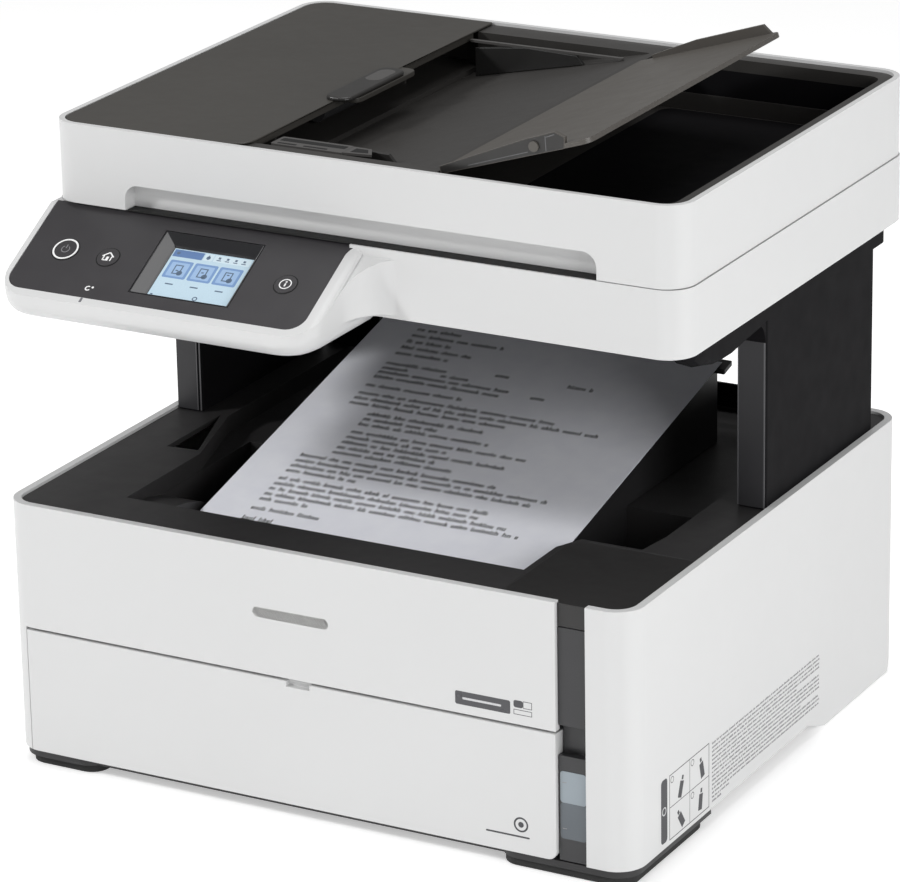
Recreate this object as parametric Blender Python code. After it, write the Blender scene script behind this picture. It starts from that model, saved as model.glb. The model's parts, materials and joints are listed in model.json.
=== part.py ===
"""Multifunction ink-tank printer with a document feeder, built from the pieces it comes apart into.

The sizes below are millimetres. The printer's front faces -Y and its right side +X. The origin is on
the floor, under the middle of the printer. A moving piece has its origin on its joint's axis.
"""

import math

import bmesh
import bpy
from mathutils import Matrix, Vector

MM = 0.001
GAP = 0.3  # clearance between pieces that touch
FAR = 400.0  # past every face of the printer, for cutters that run right through

# Outer sizes
WIDTH = 375.0
HALF = WIDTH / 2
CORNER = 16.0
CORNER_STEPS = 12
BASE_FRONT, BASE_REAR = -170.6, 166.0
LID_FRONT, LID_REAR = -110.7, 170.6
LID_HALF = 186.8

# Heights
SKIRT = 1.0
PANEL_LOW = 9.0
CASSETTE_TOP = 79.3
GROOVE_TOP = 80.8
DECK = 150.0
BASE_RIM = 151.5
FRAME_LOW = 256.0
SCANNER_LOW = 265.7
SCANNER_TOP = 302.4
LID_LOW = 302.9
LID_TOP = 346.6

# Walls
BASE_WALL = 4.5
LID_WALL = 3.2
PLATE = 2.5

# Front of the base
FRONT_LEFT = -176.0
STRIP_LEFT, STRIP_RIGHT = 144.6, 161.4
STRIP_FACE = BASE_FRONT + 2.3
COVER_SEAM = 138.0
STRIP_RECESS = (67.5, 84.0)
WINDOW = (22.0, 59.0)

# Output bay
SHEET_SLOPE = math.radians(13.4)
SHEET_END_Y, SHEET_END_Z = 107.6, 187.0
SHEET_HALF = 105.0
SHEET_START_Y = -148.0
BAY_FRONT, BAY_REAR = -134.0, 156.0
FLOOR_FRONT, FLOOR_REAR = 117.0, 140.0
FLOOR_STEP = -6.0

# Ink cover
INK_LEFT, INK_REAR = 112.0, -86.0

# Columns between the base and the scanner
COLUMN_X = (166.0, 182.7)
LEFT_COLUMN_FRONT, RIGHT_COLUMN_FRONT, COLUMN_REAR = 0.0, -3.0, 137.0
RAIL_X = (157.0, 184.0)
FRAME_FRONT = -78.0

# Control panel: its face is a plane that leans back by PANEL_ANGLE, and drop is counted down it from this point
PANEL_ANGLE = math.radians(29.2)
PANEL_TOP_Y, PANEL_TOP_Z = -114.4, 298.1
PANEL_X = (-184.2, -4.0)
PANEL_DROPS = (-7.8, 56.2)
PANEL_CORNER = 10.0
CHIN_FRONT, CHIN_RIGHT, CHIN_LOW = -168.0, 4.0, 252.0
CHIN_BACK = -97.5
CHIN_RIM = 0.35  # the white rim stands this much above the panel's face
BUTTONS = {
    "power_button": (-161.4, 25.6, 7.4),
    "home_button": (-134.5, 26.6, 6.2),
    "help_button": (-26.6, 26.4, 6.2),
}
SCREEN_X, SCREEN_DROPS = (-111.0, -51.0), (2.2, 47.4)

# Document feeder
MOUTH_X = -68.0
TRAY_END_X = 40.0
TRAY_LOW, TRAY_HIGH = 322.0, 344.6
HOLLOW_Y = (-102.8, 158.0)
HOLLOW_RIGHT = 177.0
HOLLOW_FLOOR = 313.0
FLAP_ANGLE = math.radians(17.3)
FLAP_PIVOT = (42.0, 345.6)
FLAP_LONG = 92.0
FEEDER_MIDDLE = 30.0

# Print mechanism
PAPER_PLANE = 96.0
ROLLER_R = 6.0
FEED_Y, EJECT_Y = 72.0, 14.0
ROLLER_Z = PAPER_PLANE - ROLLER_R
GEAR_MODULE = 1.0
SHAFT_TEETH, IDLER_TEETH = 24, 34
GEAR_X = (-136.0, -130.0)
PICKUP_Y, PICKUP_Z = 116.0, 74.0
RUNNING = 0.08  # radial clearance of a shaft in its bearing

COLOURS = {
    "white_shell": ((0.72, 0.72, 0.71), 0.35, 0.0),
    "dark_shell": ((0.035, 0.034, 0.036), 0.45, 0.0),
    "feeder_cover": ((0.07, 0.065, 0.058), 0.35, 0.0),
    "panel_face": ((0.06, 0.055, 0.06), 0.3, 0.0),
    "grey_plastic": ((0.16, 0.16, 0.17), 0.45, 0.0),
    "frame_steel": ((0.55, 0.56, 0.58), 0.35, 1.0),
    "roller_rubber": ((0.03, 0.03, 0.03), 0.8, 0.0),
    "foot_rubber": ((0.02, 0.02, 0.02), 0.85, 0.0),
    "tank_plastic": ((0.45, 0.5, 0.54), 0.2, 0.0),
    "screen_glass": ((0.5, 0.62, 0.68), 0.08, 0.0),
    "platen_glass": ((0.5, 0.56, 0.56), 0.03, 0.0),
    "foam": ((0.85, 0.85, 0.83), 0.9, 0.0),
    "circuit_board": ((0.02, 0.16, 0.06), 0.5, 0.0),
    "gear_plastic": ((0.75, 0.74, 0.7), 0.4, 0.0),
    "paper": ((0.82, 0.83, 0.87), 0.85, 0.0),
}


# ---------------------------------------------------------------- shapes


def clear_scene():
    for thing in list(bpy.data.objects):
        bpy.data.objects.remove(thing, do_unlink=True)


def collection(name):
    made = bpy.data.collections.new(name)
    bpy.context.scene.collection.children.link(made)
    return made


def material(name):
    if name in bpy.data.materials:
        return bpy.data.materials[name]
    colour, roughness, metallic = COLOURS[name]
    made = bpy.data.materials.new(name)
    made.use_nodes = True
    shader = made.node_tree.nodes["Principled BSDF"]
    shader.inputs["Base Color"].default_value = (*colour, 1.0)
    shader.inputs["Roughness"].default_value = roughness
    shader.inputs["Metallic"].default_value = metallic
    return made


def box(x, y, z, radius=0.0, axis=2, segments=4, corner=None):
    """Box between the limits given for x, y and z. The edges along axis that corner picks are rounded."""
    shape = bmesh.new()
    bmesh.ops.create_cube(shape, size=1.0)
    low = Vector((x[0], y[0], z[0])) * MM
    high = Vector((x[1], y[1], z[1])) * MM
    place = Matrix.Translation((low + high) / 2) @ Matrix.Diagonal((*(high - low), 1.0))
    bmesh.ops.transform(shape, matrix=place, verts=shape.verts)
    if radius:
        middle = (low + high) / 2
        others = [i for i in range(3) if i != axis]
        edges = []
        for edge in shape.edges:
            offset = (edge.verts[0].co + edge.verts[1].co) / 2 - middle
            along = abs(edge.verts[0].co[axis] - edge.verts[1].co[axis]) > 1e-6
            side = tuple(offset[i] > 0 for i in others)
            if along and (corner is None or side in corner):
                edges.append(edge)
        bmesh.ops.bevel(
            shape, geom=edges, offset=radius * MM, segments=segments, profile=0.5, affect="EDGES"
        )
    return shape


def cylinder(centre, axis, radius, length, segments=32, end_radius=None):
    """Cylinder, or a cone that ends at end_radius, around its centre along axis."""
    shape = bmesh.new()
    last = radius if end_radius is None else end_radius
    bmesh.ops.create_cone(
        shape,
        cap_ends=True,
        segments=segments,
        radius1=radius * MM,
        radius2=last * MM,
        depth=length * MM,
    )
    turn = Vector((0, 0, 1)).rotation_difference(Vector(axis)).to_matrix().to_4x4()
    place = Matrix.Translation(Vector(centre) * MM) @ turn
    bmesh.ops.transform(shape, matrix=place, verts=shape.verts)
    return shape


def prism(points, axis, span):
    """Flat outline run along an axis: (y, z) points along 0, (x, z) points along 1, (x, y) along 2."""
    data = bpy.data.curves.new("outline", "CURVE")
    data.dimensions = "2D"
    data.fill_mode = "BOTH"
    data.extrude = abs(span[1] - span[0]) / 2 * MM
    spline = data.splines.new("POLY")
    spline.points.add(len(points) - 1)
    for point, (u, v) in zip(spline.points, points):
        point.co = (u * MM, v * MM, 0.0, 1.0)
    spline.use_cyclic_u = True
    guide = bpy.data.objects.new("outline", data)
    bpy.context.scene.collection.objects.link(guide)
    graph = bpy.context.evaluated_depsgraph_get()
    mesh = bpy.data.meshes.new_from_object(guide.evaluated_get(graph))
    bpy.data.objects.remove(guide)
    bpy.data.curves.remove(data)
    shape = bmesh.new()
    shape.from_mesh(mesh)
    bpy.data.meshes.remove(mesh)
    bmesh.ops.remove_doubles(shape, verts=shape.verts, dist=1e-6)
    middle = (span[0] + span[1]) / 2 * MM
    if axis == 0:
        turn = Matrix(((0, 0, 1, middle), (1, 0, 0, 0), (0, 1, 0, 0), (0, 0, 0, 1)))
    elif axis == 1:
        turn = Matrix(((1, 0, 0, 0), (0, 0, -1, middle), (0, 1, 0, 0), (0, 0, 0, 1)))
    else:
        turn = Matrix.Translation((0, 0, middle))
    bmesh.ops.transform(shape, matrix=turn, verts=shape.verts)
    bmesh.ops.recalc_face_normals(shape, faces=shape.faces)
    return shape


def loft(sections):
    """Skin over closed outlines that have the same number of points, with a flat cap at each end."""
    shape = bmesh.new()
    rings = [[shape.verts.new(Vector(point) * MM) for point in section] for section in sections]
    for ring, following in zip(rings, rings[1:]):
        for i in range(len(ring)):
            after = (i + 1) % len(ring)
            shape.faces.new((ring[i], ring[after], following[after], following[i]))
    shape.faces.new(rings[0])
    shape.faces.new(rings[-1])
    bmesh.ops.remove_doubles(shape, verts=shape.verts, dist=1e-6)
    bmesh.ops.recalc_face_normals(shape, faces=shape.faces)
    return shape


def arc(centre, radii, start, stop, steps):
    """Points of an ellipse's arc, both ends included, with the angles in degrees."""
    points = []
    for i in range(steps + 1):
        angle = math.radians(start + (stop - start) * i / steps)
        points.append((centre[0] + radii[0] * math.cos(angle), centre[1] + radii[1] * math.sin(angle)))
    return points


def moved(shape, offset):
    bmesh.ops.translate(shape, vec=Vector(offset) * MM, verts=shape.verts)
    return shape


def mesh_of(name, shape):
    mesh = bpy.data.meshes.new(name)
    shape.to_mesh(mesh)
    shape.free()
    mesh.shade_smooth()
    mesh.set_sharp_from_angle(angle=math.radians(35))
    return mesh


def piece(name, shape, slot, origin=(0.0, 0.0, 0.0), turn=(0.0, 0.0, 0.0)):
    """A named object whose shape is given around the world's origin, then carried to origin and turned."""
    mesh = mesh_of(name, shape)
    mesh.materials.append(material(slot))
    made = bpy.data.objects.new(name, mesh)
    made.location = Vector(origin) * MM
    made.rotation_euler = turn
    PARTS.objects.link(made)
    return made


def pivoted(name, shape, slot, pivot):
    """A piece drawn in the printer's place, with its origin moved onto its joint's axis at pivot."""
    return piece(name, moved(shape, [-value for value in pivot]), slot, pivot)


def shaped(made, operation, shapes):
    for shape in shapes:
        tool = bpy.data.objects.new(made.name + "_tool", mesh_of(made.name + "_tool", shape))
        tool.parent = made
        tool.hide_render = True
        tool.display_type = "WIRE"
        CUTTERS.objects.link(tool)
        step = made.modifiers.new(operation.lower(), "BOOLEAN")
        step.operation = operation
        step.solver = "EXACT"
        step.object = tool
    return made


def local(made, shapes):
    """Shapes drawn in the printer's place, brought into the frame of a piece that only moves by its origin."""
    return [moved(shape, -made.location / MM) for shape in shapes]


def cut(made, *shapes):
    return shaped(made, "DIFFERENCE", local(made, shapes))


def join(made, *shapes):
    return shaped(made, "UNION", local(made, shapes))


def keep(made, *shapes):
    return shaped(made, "INTERSECT", local(made, shapes))


# ---------------------------------------------------------------- base


def base_ring(name):
    """The white wall round the base, before it is parted into its panels."""
    outer = box((-HALF, HALF), (BASE_FRONT, BASE_REAR), (SKIRT, BASE_RIM), CORNER, segments=CORNER_STEPS)
    ring = piece(name, outer, "white_shell")
    inside = box(
        (-HALF + BASE_WALL, HALF - BASE_WALL),
        (BASE_FRONT + BASE_WALL, BASE_REAR - BASE_WALL),
        (-10, FAR),
        CORNER - BASE_WALL,
        segments=CORNER_STEPS,
    )
    foot_line = [(-FAR, -10), (66, -10), (66, SKIRT), (44, PANEL_LOW), (-FAR, PANEL_LOW)]
    rear_line = [(FAR, -10), (FAR, PANEL_LOW), (158, PANEL_LOW), (151, SKIRT), (151, -10)]
    cut(ring, inside, prism(foot_line, 0, (-FAR, FAR)), prism(rear_line, 0, (-FAR, FAR)))
    return ring


def base_panels():
    front = base_ring("front_panel")
    cut(
        front,
        box((STRIP_LEFT, FAR), (-FAR, 0), (-10, FAR)),
        box((-165, FAR), (-1, FAR), (-11, FAR + 1)),
        box((FRONT_LEFT - GAP, FAR - 1), (-FAR, -100), (-12, GROOVE_TOP)),
    )
    right = base_ring("right_side_panel")
    cut(
        right,
        box((-FAR, STRIP_RIGHT), (-FAR, 0), (-10, FAR)),
        box((-FAR - 1, 165), (-1, FAR), (-11, FAR + 1)),
    )
    rear = base_ring("rear_panel")
    keep(rear, box((-164.7, 164.7), (140, 180), (PANEL_LOW, FAR)))
    cut(
        rear,
        box((-100.6, 100.6), (150, 180), (85.6, 128.4)),
        box((-152.4, -125.6), (150, 181), (94.6, 113.4)),
        box((117.6, 158.4), (150, 182), (92.6, 115.4)),
    )


def base_floor():
    front_corners = [(False, False), (True, False)]
    pan = piece(
        "base_pan", box((-182.6, 182.6), (-164, 160.5), (4.5, 8), 11, segments=4), "dark_shell"
    )
    join(
        pan,
        box((-182.6, -179.6), (-150, 150), (5, 80.9)),
        box((144.9, 147.3), (-158, 150), (5.2, 80.9)),
        box((-170, 146), (157.5, 160.2), (5.4, 80.9)),
        box((107, 185.6), (-168.6, -74), (4.6, 8.5), 13.5, segments=8, corner=front_corners),
        box((-185.6, -134), (-168.6, -126), (4.7, 8.4), 13.5, segments=8, corner=front_corners),
    )
    plate = piece(
        "inner_frame",
        box((-182.6, 147.3), (-159.5, 160.5), (81.2, 83.7), 11.2, corner=[(False, False), (False, True)]),
        "dark_shell",
    )
    cut(
        plate,
        box((-140, -129.8), (-8, 94), (80, 90)),
        box((-22, 22), (102, 130), (80, 90.5)),
        box((-125, 125), (146, 155), (80, 91)),
    )
    idler_y = (FEED_Y + EJECT_Y) / 2
    bearings = [(side, y, ROLLER_Z) for y in (FEED_Y, EJECT_Y) for side in ((113, 115), (-116, -114))]
    bearings.append(((-129.5, -127.5), idler_y, ROLLER_Z))
    for side, y, z in bearings:
        join(plate, box(side, (y - 6, y + 6), (83, z + 5.8)))
        cut(plate, cylinder(((side[0] + side[1]) / 2, y, z), (1, 0, 0), 3 + RUNNING, 4))
    for side in ((-44, -42), (42, 44)):
        join(plate, box(side, (PICKUP_Y - 6, PICKUP_Y + 6), (PICKUP_Z - 6, 82)))
        cut(plate, cylinder((sum(side) / 2, PICKUP_Y, PICKUP_Z), (1, 0, 0), 3 + RUNNING, 4))
    feet = {
        "front_left_foot": ((-182, -136), (-166, -128)),
        "front_right_foot": ((109, 184), (-167, -76)),
        "rear_left_foot": ((-171, -129), (110, 148)),
        "rear_right_foot": ((129, 171), (110, 148)),
    }
    for name, (x, y) in feet.items():
        piece(name, box(x, y, (0, 4.2), 10, segments=6), "foot_rubber")


def bay_outline(grow):
    """The output bay's outline seen from above, grown outwards by grow."""
    return [
        (-132 - grow, BAY_FRONT - grow),
        (108 + grow, BAY_FRONT - grow),
        (108 + grow, -98 - grow * 0.4),
        (115 + grow * 0.4, -82.5 - grow),
        (150 + grow, -82.5 - grow),
        (153 + grow, -60),
        (153 + grow, BAY_REAR + grow),
        (-150 - grow, BAY_REAR + grow),
        (-150 - grow, 1),
        (-132 - grow, -59),
    ]


def top_deck():
    deck = piece(
        "top_deck",
        box((-182.7, 182.7), (BASE_FRONT + BASE_WALL + GAP, 161.2), (147, DECK), 11.2, segments=CORNER_STEPS),
        "dark_shell",
    )
    join(deck, prism(bay_outline(PLATE), 2, (FLOOR_FRONT - PLATE, DECK - 1)))
    cut(
        deck,
        prism(bay_outline(0), 2, (FLOOR_REAR, FAR)),
        box((-131.9, 107.9), (BAY_FRONT + 0.05, -97), (FLOOR_FRONT, 145)),
        box((-131.8, 149.9), (-82.4, FLOOR_STEP), (FLOOR_FRONT + 0.1, 144)),
        box((-131.7, 107.8), (-98, -82), (FLOOR_FRONT + 0.2, 143)),
        box((-FAR, FAR), (FLOOR_STEP + PLATE, FAR), (-10, FLOOR_REAR - PLATE)),
        box((-112, 112.5), (BAY_FRONT - 6, BAY_FRONT + 2), (121, 146.2)),
        prism([(INK_LEFT - GAP, -FAR), (FAR, -FAR), (FAR, INK_REAR + GAP),
               (119 - GAP, INK_REAR + GAP), (INK_LEFT - GAP, -98)], 2, (-11, FAR + 1)),
        prism([(-155, -56), (-155, 1), (-136, -54)], 2, (146, 160)),
    )
    curve = [(BAY_FRONT - 1, FLOOR_FRONT - 1)] + arc((BAY_FRONT, FLOOR_FRONT - 1), (60, 29), 90, 0, 8)
    curve.insert(1, (BAY_FRONT - 1, FLOOR_FRONT + 28))
    join(deck, prism(curve, 0, (-133, -109)))


def sheet_z(y):
    return SHEET_END_Z + (y - SHEET_END_Y) * math.tan(SHEET_SLOPE)


def output_tray():
    front, rear, drop = -126.0, 106.0, 0.9
    side = [
        (front, sheet_z(front) - drop),
        (rear, sheet_z(rear) - drop),
        (rear, FLOOR_REAR + GAP),
        (FLOOR_STEP - GAP, FLOOR_REAR + GAP),
        (FLOOR_STEP - GAP, FLOOR_FRONT + GAP),
        (front, FLOOR_FRONT + GAP),
    ]
    tray = piece("output_tray", prism(side, 0, (-103, 103)), "dark_shell")
    hollow = [
        (front + PLATE, sheet_z(front) - drop - 2 * PLATE),
        (rear - PLATE, sheet_z(rear) - drop - PLATE),
        (rear - PLATE, 100),
        (front + PLATE, 100),
    ]
    cut(tray, prism(hollow, 0, (-100.5, 100.5)))
    lip = [
        (rear - 4, sheet_z(rear - 4) - drop - 3),
        (rear - 4, sheet_z(rear - 4) - drop),
        (rear + 6, sheet_z(rear + 6) - drop),
        (rear + 6, sheet_z(rear + 6) - drop - 3),
    ]
    join(tray, prism(lip, 0, (-109, 109)))


def columns():
    height = (DECK + GAP, FRAME_LOW - GAP)
    fronts = (("left_column", -1, LEFT_COLUMN_FRONT), ("right_column", 1, RIGHT_COLUMN_FRONT))
    for name, side, front in fronts:
        x = sorted(side * value for value in COLUMN_X)
        hollow = (x[0] + PLATE, x[1] - PLATE)
        column = piece(name, box(x, (front, COLUMN_REAR), height, 3, segments=4), "dark_shell")
        cut(column, box(hollow, (front + PLATE, COLUMN_REAR - PLATE), (100, FRAME_LOW - 3)))


def rail_nose(side):
    """The front end of a side rail, which droops a little and is rounded all round."""
    sections = []
    for x, back, lift in ((157, 20, 5), (159, 12, 3), (163, 6, 1), (168, 2, 0), (177, 0, 0), (181, 3, 0.5), (184, 10, 2)):
        low = 249.5 + lift
        line = [(-12, 264.8), (-12, 254 + lift / 2), (-30, 252.5 + lift / 2), (-52 + back / 2, low)]
        line += [(-66 + back / 2, low + 0.3), (-80 + back, low + 3.4), (-88 + back, low + 8.6), (-91 + back, 264.8)]
        sections.append([(side * x, y, z) for y, z in line])
    return loft(sections)


def mid_frame():
    frame = piece(
        "mid_frame",
        box((-RAIL_X[1], RAIL_X[1]), (FRAME_FRONT, 152), (FRAME_LOW, 265.4), 8, segments=5),
        "dark_shell",
    )
    cut(frame, box((-181, 181), (FRAME_FRONT + 3, 149), (FRAME_LOW + 3, 300), 5, segments=4))
    fronts = ((-1, LEFT_COLUMN_FRONT), (1, RIGHT_COLUMN_FRONT))
    for side, front in fronts:
        join(frame, rail_nose(side))
        fillet = [(front - 12, FRAME_LOW + 1)] + arc((front - 12.4, 244), (12, 12), 90, 0, 6)
        fillet.append((front - GAP, FRAME_LOW + 1))
        join(frame, prism(fillet, 0, sorted((side * COLUMN_X[0], side * COLUMN_X[1]))))


def ink_supply():
    strip = piece(
        "ink_strip",
        box((STRIP_LEFT + GAP, STRIP_RIGHT - GAP), (STRIP_FACE, -160), (PANEL_LOW, COVER_SEAM - GAP)),
        "grey_plastic",
    )
    cut(
        strip,
        box((STRIP_LEFT - 1, STRIP_RIGHT + 1), (-FAR, -163), STRIP_RECESS),
        box((147, 159), (-FAR, 0), (WINDOW[0], WINDOW[1])),
    )
    tank = piece("ink_tank", box((148, 181), (-159, -20), (12, 96), 3, segments=3), "tank_plastic")
    join(tank, box((147.4, 158.6), (-166.5, -158), (WINDOW[0] + 0.4, WINDOW[1] - 0.4)))
    cut(tank, box((150, 179), (-157, -22), (14, 94)))
    join(tank, cylinder((165, -122, 97), (0, 0, 1), 7, 8))
    cut(tank, cylinder((165, -122, 97), (0, 0, 1), 3, 12))

    cap_hinge = (165.0, -110.5, 102.0)
    cap = pivoted("ink_cap", cylinder((165, -122, 105), (0, 0, 1), 9.5, 6.5), "grey_plastic", cap_hinge)
    join(cap, box((161, 169), (-116, -108.5), (102.5, 105.5)))

    hinge = (165.0, INK_REAR, 150.6)
    outline = [(INK_LEFT, -165.7)]
    outline += arc((171.2, -154.2), (11.4, 11.5), -90, 0, 10)
    outline += [(182.6, INK_REAR), (119, INK_REAR), (INK_LEFT, -98)]
    cover = pivoted("ink_cover", prism(outline, 2, (148, 150.6)), "dark_shell", hinge)
    join(
        cover,
        box((STRIP_LEFT + GAP, STRIP_RIGHT - GAP), (STRIP_FACE, -164.5), (COVER_SEAM, 150.6)),
    )


# ---------------------------------------------------------------- cassette


def cassette():
    tray = piece("cassette_tray", box((-175.7, 142.8), (-150, 150), (9.4, 60)), "dark_shell")
    cut(tray, box((-173.2, 140.3), (-147.5, 147.5), (12.4, 70)))
    outline = [(FRONT_LEFT, -150.6)]
    side_y = -154.6 - math.sqrt(CORNER**2 - (FRONT_LEFT + 171.5) ** 2)
    outline.append((FRONT_LEFT, side_y))
    start = 180 + math.degrees(math.atan2(-154.6 - side_y, -171.5 - FRONT_LEFT))
    outline += arc((-171.5, -154.6), (CORNER, CORNER), start, 270, 9)[1:]
    outline += [(STRIP_LEFT - GAP, BASE_FRONT), (STRIP_LEFT - GAP, -150.6)]
    front = piece("cassette_front", prism(outline, 2, (PANEL_LOW, CASSETTE_TOP)), "white_shell")
    cut(
        front,
        box((-172, STRIP_LEFT - 4), (-166.4, -140), (PANEL_LOW + 3.5, CASSETTE_TOP - 3.5)),
        box((-14, 0), (-FAR, -167.4), (CASSETTE_TOP - 3, CASSETTE_TOP + 5)),
    )
    right = STRIP_LEFT - GAP
    corner = [(right + 1, PANEL_LOW - 1), (right + 1, PANEL_LOW + 5)]
    corner += arc((right - 5, PANEL_LOW + 5), (5, 5), 0, -90, 8)
    corner.append((right - 5, PANEL_LOW - 1))
    cut(front, prism(corner, 1, (-FAR, 0)))
    for name, side in (("cassette_left_guide", -1), ("cassette_right_guide", 1)):
        wall = sorted((side * 105.3, side * 107.8))
        foot = sorted((side * 107.5, side * 122))
        guide = piece(name, box(wall, (-60, 60), (12.8, 50)), "grey_plastic")
        join(guide, box(foot, (-20, 20), (12.8, 15.8)))
    rear = piece("cassette_rear_guide", box((-20, 20), (144.2, 147), (12.8, 46)), "grey_plastic")
    join(rear, box((-12, 12), (124, 145), (12.9, 15)))


# ---------------------------------------------------------------- print mechanism


def gear(teeth, centre, x):
    """Spur gear round an axis along X, with a tooth on the +Y side, or a gap there if the count is the idler's."""
    pitch = 2 * math.pi / teeth
    radius = teeth * GEAR_MODULE / 2
    shift = 0.5 if teeth == IDLER_TEETH else 0.0
    tooth = [(-0.27, -1.15), (-0.11, 0.85), (0.11, 0.85), (0.27, -1.15)]
    points = []
    for number in range(teeth):
        for along, rise in tooth:
            angle = (number + shift + along) * pitch
            reach = radius + rise * GEAR_MODULE
            points.append((centre[0] + reach * math.cos(angle), centre[1] + reach * math.sin(angle)))
    return prism(points, 0, x)


def rollers():
    for name, y in (("feed_roller", FEED_Y), ("eject_roller", EJECT_Y)):
        axis = (0.0, y, ROLLER_Z)
        roller = pivoted(name, cylinder((0, y, ROLLER_Z), (1, 0, 0), ROLLER_R, 224, 24), "roller_rubber", axis)
        join(
            roller,
            cylinder((-12, y, ROLLER_Z), (1, 0, 0), 3, 254, 16),
            gear(SHAFT_TEETH, (y, ROLLER_Z), GEAR_X),
        )
    middle = (FEED_Y + EJECT_Y) / 2
    idler = pivoted("idler_gear", gear(IDLER_TEETH, (middle, ROLLER_Z), GEAR_X), "gear_plastic",
                    (-133.0, middle, ROLLER_Z))
    join(idler, cylinder((-133, middle, ROLLER_Z), (1, 0, 0), 3, 12, 16))
    axis = (0.0, PICKUP_Y, PICKUP_Z)
    pickup = pivoted("pickup_roller", cylinder(axis, (1, 0, 0), 3, 90, 16), "roller_rubber", axis)
    join(pickup, cylinder(axis, (1, 0, 0), 11, 36, 24))


def print_engine():
    rail = piece("carriage_rail", box((-168, 168), (100, 102), (84, 134)), "frame_steel")
    join(rail, box((-168, 168), (92, 101), (131.5, 134)), box((-168, 168), (101, 110), (84, 86)))
    belt = piece("carriage_belt", box((-158, 164), (84, 96), (112, 118), 5.9, segments=6), "roller_rubber")
    cut(belt, box((-157, 163), (85, 95), (100, 130), 4.9, segments=6))
    motor = piece("carriage_motor", cylinder((-152, 90, 97), (0, 0, 1), 8.5, 25.5, 24), "frame_steel")
    join(motor, cylinder((-152, 90, 114), (0, 0, 1), 4.4, 14, 20))
    carriage = piece("carriage", box((102, 158), (24, 82), (99, 130), 3, segments=2), "grey_plastic")
    join(carriage, box((124, 136), (81, 83.7), (110, 120)), box((110, 150), (81, 90), (126, 129.8)))
    cut(carriage, box((109.7, 150.3), (29.7, 62.3), (90, 104)))
    piece("print_head", box((110, 150), (30, 62), (96.8, 103.6)), "frame_steel")
    platen = piece("platen", box((-112, 98), (24, 62), (84.1, 92)), "dark_shell")
    for number in range(8):
        x = -103 + number * 27
        join(platen, box((x, x + 3), (26, 60), (91, 95.4)))
    station = piece("cap_station", box((102, 158), (24, 64), (84.1, 90)), "grey_plastic")
    join(station, box((112, 148), (32, 58), (89, 94)))
    cut(station, box((114, 146), (34, 56), (91, 96)))
    motor = piece("feed_motor", cylinder((-160, 43, 101), (1, 0, 0), 15, 30, 24), "frame_steel")
    join(motor, cylinder((-144, 43, 101), (1, 0, 0), 2, 4, 12))


def electronics():
    board = piece("main_board", box((-140, -20), (112, 146), (86, 87.6)), "circuit_board")
    join(board, box((-120, -104), (118, 134), (87, 90)), box((-70, -52), (120, 132), (87, 92)))
    piece("power_supply", box((-181, -156), (112, 156), (86, 130), 2, segments=2), "grey_plastic")
    inlet = piece("ac_inlet", box((-152, -126), (146, 166), (95, 113)), "dark_shell")
    cut(inlet, box((-148, -130), (154, 170), (99, 109)))
    ports = piece("port_block", box((118, 158), (146, 165.6), (93, 115)), "frame_steel")
    cut(ports, box((121, 133), (154, 170), (98, 109)), box((137, 154), (154, 170.5), (97, 110)))
    maintenance = piece("maintenance_box", box((150, 180), (40, 150), (12, 72)), "grey_plastic")
    cut(maintenance, box((153, 177), (43, 147), (16, 80)))
    cover = piece("rear_cover", box((-100.3, 100.3), (150, 165.8), (86, 128)), "dark_shell")
    cut(cover, box((-97, 97), (140, 162.5), (89, 125)))


# ---------------------------------------------------------------- scanner and control panel


def on_panel(x, drop, rise=0.0):
    """World place of a point on the control panel's face: drop is down the slope, rise is off the face."""
    cos, sin = math.cos(PANEL_ANGLE), math.sin(PANEL_ANGLE)
    y = PANEL_TOP_Y - drop * cos - rise * sin
    return (x, y, PANEL_TOP_Z - drop * sin + rise * cos)


def panel_shape(shape, x=0.0, drop=0.0):
    """A shape drawn flat at the origin, laid on the control panel's face at x and drop."""
    turn = Matrix.Rotation(PANEL_ANGLE, 4, "X")
    place = Matrix.Translation(Vector(on_panel(x, drop)) * MM) @ turn
    bmesh.ops.transform(shape, matrix=place, verts=shape.verts)
    return shape


def chin_section(x, front, low, drop):
    """Side view of the control panel's housing at x: its nose at front, its underside at low, its top cut by drop."""
    slope = math.tan(PANEL_ANGLE)
    top_y = LID_FRONT + 1
    above = PANEL_TOP_Z + CHIN_RIM - drop
    top = above + (top_y - PANEL_TOP_Y) * slope
    nose = above + (min(front, top_y - 0.1) - PANEL_TOP_Y) * slope
    deep = min(20.0, CHIN_BACK - 1 - front)
    under = arc((front + deep, 268), (deep, 268 - low), 180, 270, 7)
    line = [(CHIN_BACK, low), (CHIN_BACK, top), (top_y, top), (front, nose), *under]
    return [(x, y, z) for y, z in line]


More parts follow.
